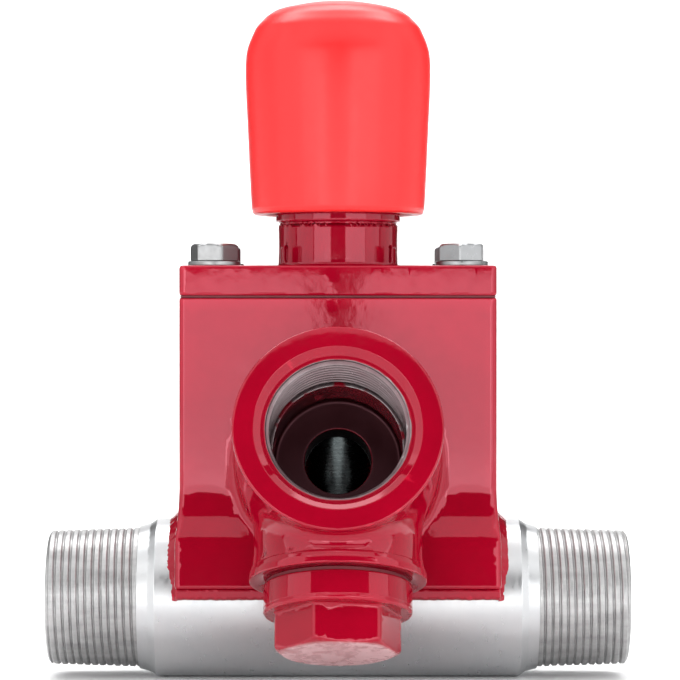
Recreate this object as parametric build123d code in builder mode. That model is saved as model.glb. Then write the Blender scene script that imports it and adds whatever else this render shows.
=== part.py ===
from build123d import *
import os
from math import sin, cos, radians, sqrt, pi

os.makedirs("parts", exist_ok=True)

# ---------------------------------------------------------------------------
# Plunger-type metering valve on a pipe run.  Millimetres, +Z up.
# Origin: where the valve's vertical axis meets the axis of the pipe run.
# X runs along the pipe, the inlet port faces -Y and upwards.
# ---------------------------------------------------------------------------

# pipe run
run_len = 177.0          # end to end
run_r = 24.15            # 48.3 mm tube
run_step_x = 55.3        # where the full diameter ends
run_step_w = 2.1         # length of the step cone
run_step_r = 22.75       # radius just past the step
run_neck_x = 62.7        # where the thread starts
thread_r = 20.955        # 1 1/4 pipe thread, major radius (41.91 mm)
run_bore_r = 16.0
end_chamfer = 1.3

# body block and saddle foot
block_x = 95.2
block_y = 52.0
block_top = 91.7
foot_x = 97.4
foot_flare_top = 34.5    # the flare starts here
foot_edge_z = 20.5       # top edge of the foot's face
foot_edge_y = 30.6
foot_bottom_z = 5.0
foot_bottom_y = 32.4
foot_lip_z = 3.2         # where the foot's underside meets the tube
saddle_clear = 0.05

# inlet port, tilted up
tilt = 18.0
ca, sa = cos(radians(tilt)), sin(radians(tilt))
port_mouth = (0.0, -65.0, 54.1)
port_out = (0.0, -ca, sa)
port_r = 30.5
port_cham_r = 24.4
port_cham_d = 2.5
port_thread_end = 22.0
port_bore_r = 19.0
port_bottom = 36.4
window_r = 10.0

# clean-out boss, square to the port
cross_d = 30.4
cross = (0.0, port_mouth[1] + ca * cross_d, port_mouth[2] - sa * cross_d)
clean_out = (0.0, -sa, -ca)
clean_r = 24.0
clean_rim_r = 26.0
clean_rim_s = 38.6
clean_thread_r = 16.65
clean_inner_r = 13.0
cast_fillet = 3.0

# chamber
chamber_r = 19.0
guide_bore_r = 20.5
guide_shoulder_z = 52.0

# cover
gasket_t = 0.6
bonnet_bottom = block_top + gasket_t
bonnet_top = 101.4
neck_r = 18.45
neck_lip_r = 19.2
neck_lip_z = 115.1
neck_top = 119.6
bolt_x = 37.4
bolt_y = 15.0
bolt_r = 4.0
bolt_hole_r = 4.5
bolt_len_in = 22.0
head_af = 13.0
head_h = 5.3
washer_r = 8.0
washer_t = 1.4

# plug and drive
plug_r = 10.0
plug_nose_z = 24.02
plug_tip_z = 22.28
plug_tip_r = 7.0
plug_top_z = 68.5
nut_flange_r = 15.0
nut_flange_t = 4.0
nut_r = 8.5
screw_r = 6.0
shank_r = 5.0
fit = 0.05               # radial running clearance
pin_r = 2.0
pin_pitch = 12.5

# knob
knob_bottom = 117.4
knob_top = 182.8

Z = Plane.XY


def ring(name_plane_z, r_out, r_in, t):
    """Flat ring lying on z = name_plane_z."""
    with BuildPart() as p:
        with BuildSketch(Plane.XY.offset(name_plane_z)):
            Circle(r_out)
            Circle(r_in, mode=Mode.SUBTRACT)
        extrude(amount=t)
    return p


def save(p, label):
    p.part.label = label
    export_step(p.part, "parts/" + label + ".step")


port_plane = Plane(origin=port_mouth, x_dir=(1, 0, 0), z_dir=port_out)
clean_plane = Plane(origin=cross, x_dir=(1, 0, 0), z_dir=clean_out)


def along_port(d):
    """Plane square to the port axis, d millimetres in from the mouth."""
    return port_plane.offset(-d)


def along_clean(s):
    """Plane square to the clean-out axis, s millimetres from the port axis."""
    return clean_plane.offset(s)


# ---------------------------------------------------------------------------
# body
# ---------------------------------------------------------------------------
with BuildPart() as body:
    # block and foot, side profile
    with BuildSketch(Plane.YZ):
        with BuildLine():
            Line((-block_y / 2, block_top), (-block_y / 2, foot_flare_top))
            TangentArc((-block_y / 2, foot_flare_top), (-foot_edge_y, foot_edge_z), tangent=(0, -1))
            Line((-foot_edge_y, foot_edge_z), (-foot_bottom_y, foot_bottom_z))
            Line((-foot_bottom_y, foot_bottom_z), (-21.0, foot_lip_z))
            Line((-21.0, foot_lip_z), (21.0, foot_lip_z))
            Line((21.0, foot_lip_z), (foot_bottom_y, foot_bottom_z))
            Line((foot_bottom_y, foot_bottom_z), (foot_edge_y, foot_edge_z))
            TangentArc((block_y / 2, foot_flare_top), (foot_edge_y, foot_edge_z), tangent=(0, -1))
            Line((block_y / 2, foot_flare_top), (block_y / 2, block_top))
            Line((block_y / 2, block_top), (-block_y / 2, block_top))
        make_face()
    extrude(amount=foot_x / 2, both=True)
    # front profile narrows the block above the foot
    with BuildSketch(Plane.XZ):
        with BuildLine():
            Polyline((-block_x / 2, block_top), (-block_x / 2, foot_flare_top))
            TangentArc((-block_x / 2, foot_flare_top), (-foot_x / 2, foot_edge_z), tangent=(0, -1))
            Polyline((-foot_x / 2, foot_edge_z), (-foot_x / 2, 0), (foot_x / 2, 0), (foot_x / 2, foot_edge_z))
            TangentArc((block_x / 2, foot_flare_top), (foot_x / 2, foot_edge_z), tangent=(0, -1))
            Polyline((block_x / 2, foot_flare_top), (block_x / 2, block_top), (-block_x / 2, block_top))
        make_face()
    extrude(amount=60, both=True, mode=Mode.INTERSECT)
    # soft vertical corners of the casting
    fillet(body.edges().filter_by(Axis.Z).group_by(Axis.Z)[-1], radius=1.6)
    fillet(body.faces().sort_by(Axis.Z)[-1].edges(), radius=0.8)
    # inlet boss
    with BuildSketch(along_port(51.5)):
        Circle(port_r)
    extrude(amount=51.5)
    # clean-out boss with a flared rim
    with BuildSketch(Plane(origin=cross, x_dir=clean_out, z_dir=(1, 0, 0))):
        with BuildLine():
            Line((0, 0), (0, clean_r))
            Line((0, clean_r), (27.5, clean_r))
            TangentArc((27.5, clean_r), (36.6, clean_rim_r), tangent=(1, 0))
            Line((36.6, clean_rim_r), (clean_rim_s, clean_rim_r))
            Line((clean_rim_s, clean_rim_r), (clean_rim_s, 0))
            Line((clean_rim_s, 0), (0, 0))
        make_face()
    revolve(axis=Axis(cross, clean_out), revolution_arc=360)
    # cast fillets where the two bosses meet, and where the inlet boss leaves the block and foot
    fillet([body.edges().sort_by_distance(p)[0] for p in (
        (22.9, -46.8, 27.0), (-22.9, -46.8, 27.0), (0, -68.0, 23.0),
        (26.8, -27.4, 26.6), (-26.8, -27.4, 26.6), (-3.5, -26.0, 73.3), (30.3, -26.0, 37.9))], radius=cast_fillet)
    # machined face round the clean-out boss
    with BuildSketch(along_clean(clean_rim_s)):
        Circle(clean_rim_r + 0.6)
    extrude(amount=20, mode=Mode.SUBTRACT)
    # saddle
    with BuildSketch(Plane.YZ):
        Circle(run_r + saddle_clear)
    extrude(amount=80, both=True, mode=Mode.SUBTRACT)
    # chamber and guide bore
    with BuildSketch(Plane.XY.offset(6)):
        Circle(chamber_r)
    extrude(amount=60, mode=Mode.SUBTRACT)
    with BuildSketch(Plane.XY.offset(guide_shoulder_z)):
        Circle(guide_bore_r)
    extrude(amount=60, mode=Mode.SUBTRACT)
    # groove for the retaining ring
    with BuildSketch(Plane.XY.offset(66.2)):
        Circle(guide_bore_r + 1.1)
    extrude(amount=1.3, mode=Mode.SUBTRACT)
    # inlet: thread, plain bore, window into the chamber
    with BuildSketch(along_port(port_thread_end)):
        Circle(thread_r)
    extrude(amount=40, mode=Mode.SUBTRACT)
    with BuildSketch(along_port(port_bottom)):
        Circle(port_bore_r)
    extrude(amount=30, mode=Mode.SUBTRACT)
    with BuildSketch(along_port(58)):
        Circle(window_r)
    extrude(amount=30, mode=Mode.SUBTRACT)
    # lead-in chamfer of the inlet
    with BuildSketch(Plane(origin=port_mouth, x_dir=port_out, z_dir=(1, 0, 0))):
        with BuildLine():
            Polyline((1, 0), (1, port_cham_r + (port_cham_r - thread_r) / port_cham_d),
                     (-port_cham_d, thread_r), (-port_cham_d, 0), close=True)
        make_face()
    revolve(axis=Axis(port_mouth, port_out), revolution_arc=360, mode=Mode.SUBTRACT)
    # clean-out bore
    with BuildSketch(along_clean(13.5)):
        Circle(clean_inner_r)
    extrude(amount=30, mode=Mode.SUBTRACT)
    with BuildSketch(along_clean(19.4)):
        Circle(clean_thread_r)
    extrude(amount=30, mode=Mode.SUBTRACT)
    # tapped holes for the cover bolts
    with Locations((0, 0, block_top)):
        with GridLocations(2 * bolt_x, 2 * bolt_y, 2, 2):
            Hole(radius=bolt_r + 0.03, depth=bolt_len_in - 4)
save(body, "body")

# ---------------------------------------------------------------------------
# pipe run
# ---------------------------------------------------------------------------
half = run_len / 2
with BuildPart() as run_tube:
    with BuildSketch(Plane.XY):
        with BuildLine():
            Polyline(
                (-half, run_bore_r + 0.6), (-half, thread_r - end_chamfer), (-half + end_chamfer, thread_r),
                (-run_neck_x, thread_r), (-run_neck_x + 0.6, thread_r + 0.5),
                (-run_step_x - run_step_w, run_step_r), (-run_step_x, run_r),
                (run_step_x, run_r), (run_step_x + run_step_w, run_step_r),
                (run_neck_x - 0.6, thread_r + 0.5), (run_neck_x, thread_r),
                (half - end_chamfer, thread_r), (half, thread_r - end_chamfer), (half, run_bore_r + 0.6),
                (half - 0.6, run_bore_r), (-half + 0.6, run_bore_r), close=True)
        make_face()
    revolve(axis=Axis.X, revolution_arc=360)
    # seat pocket and opening in the top wall
    with BuildSketch(Plane.XY.offset(19.0)):
        Circle(14.0)
    extrude(amount=10, mode=Mode.SUBTRACT)
    with BuildSketch(Plane.XY):
        Circle(9.0)
    extrude(amount=30, mode=Mode.SUBTRACT)
save(run_tube, "run_tube")

# ---------------------------------------------------------------------------
# weld beads: long beads under the foot, fillets round the tube at both ends
# ---------------------------------------------------------------------------
wr = run_r + 0.02
with BuildPart() as saddle_weld:
    # long beads, a rounded triangle between foot and tube
    for side in (-1, 1):
        for x0, x1 in (((-48.4, -27.4), (27.4, 48.4)) if side < 0 else ((-48.4, 48.4),)):
            with BuildSketch(Plane(origin=(x0, 0, 0), x_dir=(0, 1, 0), z_dir=(1, 0, 0))):
                with BuildLine():
                    Polyline((side * 31.9, 4.75), (side * 30.4, 2.9), (side * 27.2, 1.2),
                             (side * 24.6, -0.6), (side * 24.0, 1.0), (side * 23.9, 3.3), close=True)
                make_face()
            extrude(amount=x1 - x0)
    # end fillets
    for side in (-1, 1):
        with BuildSketch(Plane.XZ):
            with BuildLine():
                Line((side * (foot_x / 2 + 0.03), wr - 0.5), (side * (foot_x / 2 + 0.03), wr + 4.4))
                ThreePointArc((side * (foot_x / 2 + 0.03), wr + 4.4), (side * (foot_x / 2 + 1.7), wr + 1.5),
                              (side * (foot_x / 2 + 4.7), wr))
                Line((side * (foot_x / 2 + 4.7), wr), (side * (foot_x / 2 + 4.7), wr - 0.5))
                Line((side * (foot_x / 2 + 4.7), wr - 0.5), (side * (foot_x / 2 + 0.03), wr - 0.5))
            make_face()
        revolve(axis=Axis.X, revolution_arc=360)
    # only the upper half is welded
    with BuildSketch(Plane.XY.offset(-40)):
        Rectangle(140, 90)
    extrude(amount=40.6, mode=Mode.SUBTRACT)
    # keep to the tube's outside
    with BuildSketch(Plane.YZ):
        Circle(wr)
    extrude(amount=80, both=True, mode=Mode.SUBTRACT)
save(saddle_weld, "saddle_weld")

# ---------------------------------------------------------------------------
# cover, gasket, bolts, washers
# ---------------------------------------------------------------------------
with BuildPart() as bonnet:
    with BuildSketch(Plane.XY.offset(bonnet_bottom)):
        Rectangle(block_x, block_y)
    extrude(amount=bonnet_top - bonnet_bottom)
    fillet(bonnet.edges().filter_by(Axis.Z), radius=1.6)
    fillet(bonnet.faces().sort_by(Axis.Z)[-1].edges(), radius=0.7)
    fillet(bonnet.faces().sort_by(Axis.Z)[0].edges(), radius=1.0)
    # neck with a bead at its top
    with BuildSketch(Plane.XZ):
        with BuildLine():
            Polyline((0, bonnet_top - 2), (neck_r + 1.0, bonnet_top - 2), (neck_r + 1.0, bonnet_top))
            TangentArc((neck_r + 1.0, bonnet_top), (neck_r, bonnet_top + 1.0), tangent=(-1, 0))
            Polyline((neck_r, bonnet_top + 1.0), (neck_r, neck_lip_z - 0.5), (neck_r - 0.35, neck_lip_z - 0.3),
                     (neck_r - 0.35, neck_lip_z - 0.1), (neck_lip_r - 0.3, neck_lip_z), (neck_lip_r, neck_lip_z + 0.3),
                     (neck_lip_r, neck_top - 0.6), (neck_lip_r - 0.6, neck_top), (0, neck_top), (0, bonnet_top - 2))
        make_face()
    revolve(axis=Axis.Z, revolution_arc=360)
    # spigot that centres the cover in the body
    with BuildSketch(Plane.XY.offset(85.0)):
        Circle(guide_bore_r - 0.1)
    extrude(amount=10)
    # inside: cavity, bush bore, washer recess
    with BuildSketch(Plane.XY.offset(84.0)):
        Circle(16.0)
    extrude(amount=12.0, mode=Mode.SUBTRACT)
    with BuildSketch(Plane.XY.offset(90)):
        Circle(9.0)
    extrude(amount=40, mode=Mode.SUBTRACT)
    with BuildSketch(Plane.XY.offset(112.0)):
        Circle(12.0)
    extrude(amount=20, mode=Mode.SUBTRACT)
    # three narrow vent slots low in the neck
    for az in (-150, -30, 90):
        with BuildSketch(Plane(origin=(0, 0, 105.2), x_dir=(-sin(radians(az)), cos(radians(az)), 0),
                               z_dir=(cos(radians(az)), sin(radians(az)), 0)).offset(neck_r - 1.2)):
            SlotCenterToCenter(3.0, 2.2, rotation=90)
        extrude(amount=6, mode=Mode.SUBTRACT)
    # bolt holes
    with BuildSketch(Plane.XY.offset(bonnet_bottom - 1)):
        with GridLocations(2 * bolt_x, 2 * bolt_y, 2, 2):
            Circle(bolt_hole_r)
    extrude(amount=14, mode=Mode.SUBTRACT)
save(bonnet, "bonnet")

with BuildPart() as bonnet_gasket:
    with BuildSketch(Plane.XY.offset(block_top + 0.02)):
        Rectangle(block_x - 0.8, block_y - 0.8)
        Circle(guide_bore_r + 0.1, mode=Mode.SUBTRACT)
        with GridLocations(2 * bolt_x, 2 * bolt_y, 2, 2):
            Circle(bolt_hole_r, mode=Mode.SUBTRACT)
    extrude(amount=gasket_t - 0.04)
save(bonnet_gasket, "bonnet_gasket")

washer_z = bonnet_top + 0.02
with BuildPart() as bonnet_washers:
    with BuildSketch(Plane.XY.offset(washer_z)):
        with GridLocations(2 * bolt_x, 2 * bolt_y, 2, 2):
            Circle(washer_r)
            Circle(4.2, mode=Mode.SUBTRACT)
    extrude(amount=washer_t)
save(bonnet_washers, "bonnet_washers")

head_z = washer_z + washer_t + 0.02
with BuildPart() as bonnet_bolts:
    with BuildSketch(Plane.XY.offset(head_z)):
        with GridLocations(2 * bolt_x, 2 * bolt_y, 2, 2):
            RegularPolygon(radius=head_af / 2, side_count=6, major_radius=False, rotation=30)
    extrude(amount=head_h)
    # the 30 degree chamfer on top of each head
    for bx in (-bolt_x, bolt_x):
        for by in (-bolt_y, bolt_y):
            with BuildSketch(Plane(origin=(bx, by, 0), x_dir=(1, 0, 0), z_dir=(0, -1, 0))):
                with BuildLine():
                    Polyline((6.15, head_z + head_h), (9.0, head_z + head_h), (9.0, head_z + head_h - 1.65), close=True)
                make_face()
            revolve(axis=Axis((bx, by, 0), (0, 0, 1)), revolution_arc=360, mode=Mode.SUBTRACT)
    with BuildSketch(Plane.XY.offset(head_z + 0.1)):
        with GridLocations(2 * bolt_x, 2 * bolt_y, 2, 2):
            Circle(bolt_r)
    extrude(amount=-(bolt_len_in + 0.1))
save(bonnet_bolts, "bonnet_bolts")

# ---------------------------------------------------------------------------
# clean-out plug and its seal
# ---------------------------------------------------------------------------
seal_t = 0.9
with BuildPart() as inspection_plug_seal:
    with BuildSketch(along_clean(clean_rim_s + 0.03)):
        Circle(21.2)
        Circle(16.9, mode=Mode.SUBTRACT)
    extrude(amount=seal_t)
save(inspection_plug_seal, "inspection_plug_seal")

collar_s = clean_rim_s + seal_t + 0.06
collar_t = 8.7
hex_h = 11.6
with BuildPart() as inspection_plug:
    with BuildSketch(along_clean(collar_s)):
        Circle(21.9)
    extrude(amount=collar_t)
    chamfer(inspection_plug.faces().sort_by(Axis(cross, clean_out))[-1].edges(), length=0.5)
    with BuildSketch(along_clean(collar_s + collar_t - 0.2)):
        RegularPolygon(radius=16.5, side_count=6, major_radius=False, rotation=-9.8)
    extrude(amount=hex_h + 0.2)
    # corners of the hex taken off at its end
    hex_end = collar_s + collar_t + hex_h
    with BuildSketch(Plane(origin=cross, x_dir=clean_out, z_dir=(1, 0, 0))):
        with BuildLine():
            Polyline((hex_end, 16.6), (hex_end, 22.0), (hex_end - 3.1, 22.0), close=True)
        make_face()
    revolve(axis=Axis(cross, clean_out), revolution_arc=360, mode=Mode.SUBTRACT)
    with BuildSketch(along_clean(collar_s + 0.2)):
        Circle(clean_thread_r - 0.05)
    extrude(amount=-15.2)
save(inspection_plug, "inspection_plug")

# ---------------------------------------------------------------------------
# seat
# ---------------------------------------------------------------------------
with BuildPart() as seat_ring:
    with BuildSketch(Plane.XZ):
        with BuildLine():
            Polyline((8.0, 19.05), (13.9, 19.05), (13.9, 19.9), (12.3, 19.9), (12.3, 22.3), (13.9, 22.3),
                     (13.9, 24.3), (18.9, 24.3), (18.9, 28.0), (17.5, 28.0), (8.0, 22.5), close=True)
        make_face()
    revolve(axis=Axis.Z, revolution_arc=360)
save(seat_ring, "seat_ring")

with BuildPart() as seat_oring:
    with BuildSketch(Plane.XZ):
        with Locations((13.15, 21.1)):
            Circle(0.82)
    revolve(axis=Axis.Z, revolution_arc=360)
save(seat_oring, "seat_oring")

# ---------------------------------------------------------------------------
# guide bush and what seals and holds it
# ---------------------------------------------------------------------------
with BuildPart() as guide_bush:
    with BuildSketch(Plane.XZ):
        with BuildLine():
            Polyline((plug_r + fit, 55.2), (14.0, 55.2), (14.0, 52.05), (20.4, 52.05), (20.4, 58.4), (18.9, 58.4),
                     (18.9, 61.2), (20.4, 61.2), (20.4, 66.1), (plug_r + fit, 66.1), close=True)
        make_face()
    revolve(axis=Axis.Z, revolution_arc=360)
    with BuildSketch(Plane.XY.offset(57.0)):
        with Locations((-pin_pitch, 0), (pin_pitch, 0)):
            Circle(pin_r + 0.02)
    extrude(amount=20, mode=Mode.SUBTRACT)
save(guide_bush, "guide_bush")

with BuildPart() as guide_bush_oring:
    with BuildSketch(Plane.XZ):
        with Locations((19.7, 59.8)):
            Circle(0.78)
    revolve(axis=Axis.Z, revolution_arc=360)
save(guide_bush_oring, "guide_bush_oring")

with BuildPart() as plug_wiper:
    with BuildSketch(Plane.XZ):
        with BuildLine():
            Polyline((plug_r + fit, 52.1), (plug_r + 0.6, 52.8), (13.95, 52.8), (13.95, 55.15),
                     (plug_r + fit, 55.15), close=True)
        make_face()
    revolve(axis=Axis.Z, revolution_arc=360)
save(plug_wiper, "plug_wiper")

with BuildPart() as bush_retaining_ring:
    with BuildSketch(Plane.XY.offset(66.25)):
        Circle(21.5)
        Circle(18.4, mode=Mode.SUBTRACT)
        with Locations((0, 19)):
            Rectangle(7.5, 8, mode=Mode.SUBTRACT)
    extrude(amount=1.15)
save(bush_retaining_ring, "bush_retaining_ring")

with BuildPart() as guide_pins:
    with BuildSketch(Plane.XY.offset(57.1)):
        with Locations((-pin_pitch, 0), (pin_pitch, 0)):
            Circle(pin_r)
    extrude(amount=33.4)
save(guide_pins, "guide_pins")

# ---------------------------------------------------------------------------
# plug and nut (slide together)
# ---------------------------------------------------------------------------
with BuildPart() as metering_plug:
    with BuildSketch(Plane.XZ):
        with BuildLine():
            Polyline((0, plug_tip_z), (plug_tip_r, plug_tip_z), (plug_r, plug_nose_z), (plug_r, plug_top_z),
                     (nut_r + 0.02, plug_top_z), (nut_r + 0.02, 58.4), (screw_r + 0.4, 58.4), (screw_r + 0.4, 42.5),
                     (0, 42.5), close=True)
        make_face()
    revolve(axis=Axis.Z, revolution_arc=360)
save(metering_plug, "metering_plug")

with BuildPart() as plug_nut:
    with BuildSketch(Plane.XZ):
        with BuildLine():
            Polyline((screw_r + fit, 58.45), (nut_r, 58.45), (nut_r, plug_top_z + 0.02),
                     (nut_flange_r, plug_top_z + 0.02), (nut_flange_r, plug_top_z + nut_flange_t),
                     (screw_r + fit, plug_top_z + nut_flange_t), close=True)
        make_face()
    revolve(axis=Axis.Z, revolution_arc=360)
    with BuildSketch(Plane.XY.offset(60)):
        with Locations((-pin_pitch, 0), (pin_pitch, 0)):
            Circle(pin_r + fit)
    extrude(amount=20, mode=Mode.SUBTRACT)
save(plug_nut, "plug_nut")

# ---------------------------------------------------------------------------
# stem: lead screw, thrust collar, journal with two ring grooves, knob shank
# ---------------------------------------------------------------------------
with BuildPart() as lead_screw:
    with BuildSketch(Plane.XZ):
        with BuildLine():
            Polyline((0, 60.0), (screw_r - 0.8, 60.0), (screw_r, 60.8), (screw_r, 91.2), (9.4, 91.2), (9.4, 94.3),
                     (screw_r, 94.3), (screw_r, 99.4), (4.2, 99.4), (4.2, 101.6), (screw_r, 101.6),
                     (screw_r, 105.4), (4.2, 105.4), (4.2, 107.6), (screw_r, 107.6), (screw_r, 113.4),
                     (5.4, 113.4), (5.4, 114.8), (screw_r, 114.8), (screw_r, 120.6), (shank_r, 120.6),
                     (shank_r, 145.5), (shank_r - 0.6, 146.1), (0, 146.1), close=True)
        make_face()
    revolve(axis=Axis.Z, revolution_arc=360)
    # flat for the set screw, at the back
    with BuildSketch(Plane.XY.offset(122.5)):
        with Locations((0, 8.9)):
            Rectangle(14, 9)
    extrude(amount=30, mode=Mode.SUBTRACT)
save(lead_screw, "lead_screw")

stem_bush = ring(96.25, 8.97, screw_r + fit, 15.6)
save(stem_bush, "stem_bush")
thrust_washer_lower = ring(94.45, 9.4, screw_r + 0.25, 1.45)
save(thrust_washer_lower, "thrust_washer_lower")
thrust_washer_upper = ring(112.05, 11.2, screw_r + 0.25, 1.2)
save(thrust_washer_upper, "thrust_washer_upper")

with BuildPart() as stem_circlip:
    with BuildSketch(Plane.XY.offset(113.5)):
        Circle(8.6)
        Circle(5.45, mode=Mode.SUBTRACT)
        with Locations((0, -7)):
            Rectangle(5.0, 8, mode=Mode.SUBTRACT)
    extrude(amount=1.2)
save(stem_circlip, "stem_circlip")

with BuildPart() as stem_orings:
    with BuildSketch(Plane.XZ):
        with Locations((5.08, 100.5), (5.08, 106.5)):
            Circle(0.86)
    revolve(axis=Axis.Z, revolution_arc=360)
save(stem_orings, "stem_orings")

# ---------------------------------------------------------------------------
# knob: moulded shell, hub with brass insert, set screw at the back
# ---------------------------------------------------------------------------
with BuildPart() as knob:
    with BuildSketch(Plane.XZ):
        with BuildLine():
            Line((0, knob_bottom + 4), (0, knob_top))
            Spline((0, knob_top), (9.0, 182.25), (17.6, 180.3), (21.4, 178.55), (25.1, 174.9), (27.5, 169.0),
                   (28.5, 160.2), tangents=((1, 0), (0, -1)))
            Spline((28.5, 160.2), (28.25, 152.8), (27.5, 138.0), (26.85, 124.0), (26.55, knob_bottom + 1.6),
                   tangents=((0, -1), (-0.035, -1)))
            TangentArc((26.55, knob_bottom + 1.6), (25.1, knob_bottom), tangent=(-0.035, -1))
            Line((25.1, knob_bottom), (23.2, knob_bottom))
            Line((23.2, knob_bottom), (22.4, knob_bottom + 0.8))
            Line((22.4, knob_bottom + 0.8), (22.4, knob_bottom + 4))
            Line((22.4, knob_bottom + 4), (0, knob_bottom + 4))
        make_face()
    revolve(axis=Axis.Z, revolution_arc=360)
    # hollow between skirt and hub
    with BuildSketch(Plane.XZ):
        with BuildLine():
            Polyline((11.0, knob_bottom + 3), (22.4, knob_bottom + 3), (22.9, 135.0), (24.2, 158.0))
            Spline((24.2, 158.0), (23.0, 167.5), (19.0, 173.5), (11.0, 176.6), tangents=((0, 1), (-1, 0.15)))
            Line((11.0, 176.6), (11.0, knob_bottom + 3))
        make_face()
    revolve(axis=Axis.Z, revolution_arc=360, mode=Mode.SUBTRACT)
    # six ribs between hub and skirt, clear of the neck
    with BuildSketch(Plane.XY.offset(127.0)):
        with PolarLocations(17.45, 6, start_angle=0):
            Rectangle(14.5, 2.2)
    extrude(amount=30)
    # pocket for the insert
    with BuildSketch(Plane.XY.offset(knob_bottom)):
        Circle(8.02)
    extrude(amount=29.0, mode=Mode.SUBTRACT)
    # way in for the set screw, at the back
    with BuildSketch(Plane(origin=(0, 7, 132), x_dir=(1, 0, 0), z_dir=(0, 1, 0))):
        Circle(2.6)
    extrude(amount=30, mode=Mode.SUBTRACT)
save(knob, "knob")

with BuildPart() as knob_insert:
    with BuildSketch(Plane.XY.offset(121.5)):
        Circle(8.0)
        Circle(shank_r + 0.03, mode=Mode.SUBTRACT)
    extrude(amount=24.7)
    with BuildSketch(Plane(origin=(0, 4.0, 132), x_dir=(1, 0, 0), z_dir=(0, 1, 0))):
        Circle(2.5)
    extrude(amount=10, mode=Mode.SUBTRACT)
save(knob_insert, "knob_insert")

with BuildPart() as knob_set_screw:
    with BuildSketch(Plane(origin=(0, 4.45, 132), x_dir=(1, 0, 0), z_dir=(0, 1, 0))):
        Circle(2.46)
    extrude(amount=7.5)
    with BuildSketch(Plane(origin=(0, 12.1, 132), x_dir=(1, 0, 0), z_dir=(0, 1, 0))):
        RegularPolygon(radius=1.25, side_count=6, major_radius=False)
    extrude(amount=-3.0, mode=Mode.SUBTRACT)
save(knob_set_screw, "knob_set_screw")
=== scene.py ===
import math
import bpy
import numpy as np
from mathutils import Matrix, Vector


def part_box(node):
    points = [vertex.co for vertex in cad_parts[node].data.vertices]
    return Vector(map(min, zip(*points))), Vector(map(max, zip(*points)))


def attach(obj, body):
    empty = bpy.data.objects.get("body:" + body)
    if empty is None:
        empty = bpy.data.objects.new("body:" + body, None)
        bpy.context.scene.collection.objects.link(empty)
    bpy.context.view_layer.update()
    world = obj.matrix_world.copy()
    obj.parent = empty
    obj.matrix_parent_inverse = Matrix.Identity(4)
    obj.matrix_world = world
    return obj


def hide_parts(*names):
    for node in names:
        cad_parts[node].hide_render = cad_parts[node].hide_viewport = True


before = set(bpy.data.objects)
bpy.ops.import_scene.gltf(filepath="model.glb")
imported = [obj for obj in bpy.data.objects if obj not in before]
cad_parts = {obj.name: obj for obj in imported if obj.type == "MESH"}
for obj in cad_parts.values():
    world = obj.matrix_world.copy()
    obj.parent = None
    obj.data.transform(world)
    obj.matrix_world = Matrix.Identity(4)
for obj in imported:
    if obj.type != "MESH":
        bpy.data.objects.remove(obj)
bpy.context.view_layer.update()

import openvdb as vdb
from mathutils import Matrix, Vector

MM = 0.001

# ---------------------------------------------------------------------------
# sizes in millimetres, the same ones the solids have
# ---------------------------------------------------------------------------
TILT = math.radians(18.0)
CA, SA = math.cos(TILT), math.sin(TILT)
MOUTH = np.array([0.0, -65.0, 54.1])
OUT = np.array([0.0, -CA, SA])
CROSS = MOUTH - OUT * 30.4
CLEAN = np.array([0.0, -SA, -CA])
HEX_TURN = math.radians(-9.8)
COLLAR_S = 38.6 + 0.9 + 0.06
COLLAR_T = 8.7
HEX_END = COLLAR_S + COLLAR_T + 11.6

# ---------------------------------------------------------------------------
# noise in numpy, for lumps in the geometry
# ---------------------------------------------------------------------------
_rng = np.random.default_rng(7)
_T = _rng.random((64, 64, 64)).astype(np.float32)


def vnoise(x, y, z):
    """Smooth lattice noise, -1 to 1."""
    xi, yi, zi = np.floor(x).astype(int), np.floor(y).astype(int), np.floor(z).astype(int)
    xf, yf, zf = x - xi, y - yi, z - zi
    xf, yf, zf = (f * f * (3 - 2 * f) for f in (xf, yf, zf))
    out = 0
    for a in (0, 1):
        wx = xf if a else 1 - xf
        for b in (0, 1):
            wy = yf if b else 1 - yf
            for c in (0, 1):
                wz = zf if c else 1 - zf
                out = out + wx * wy * wz * _T[(xi + a) & 63, (yi + b) & 63, (zi + c) & 63]
    return out * 2 - 1


# ---------------------------------------------------------------------------
# distance fields
# ---------------------------------------------------------------------------
def rmax(a, b, r):
    """Intersection whose edge is rounded to radius r."""
    return np.minimum(np.maximum(a, b), -r) + np.hypot(np.maximum(a + r, 0), np.maximum(b + r, 0))


def rmin(a, b, r):
    """Union whose corner is filled to radius r."""
    return np.maximum(np.minimum(a, b), r) - np.hypot(np.maximum(r - a, 0), np.maximum(r - b, 0))


def port_dr(x, y, z):
    """Depth behind the inlet mouth, and distance from the inlet axis."""
    ry, rz = y - MOUTH[1], z - MOUTH[2]
    d = -(ry * OUT[1] + rz * OUT[2])
    v = ry * SA + rz * CA
    return d, np.hypot(x, v)


def clean_sruv(x, y, z):
    """Distance along the clean-out axis, distance from it, and the two offsets across it."""
    ry, rz = y - CROSS[1], z - CROSS[2]
    s = ry * CLEAN[1] + rz * CLEAN[2]
    v = ry * OUT[1] + rz * OUT[2]
    return s, np.hypot(x, v), x, v


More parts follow.
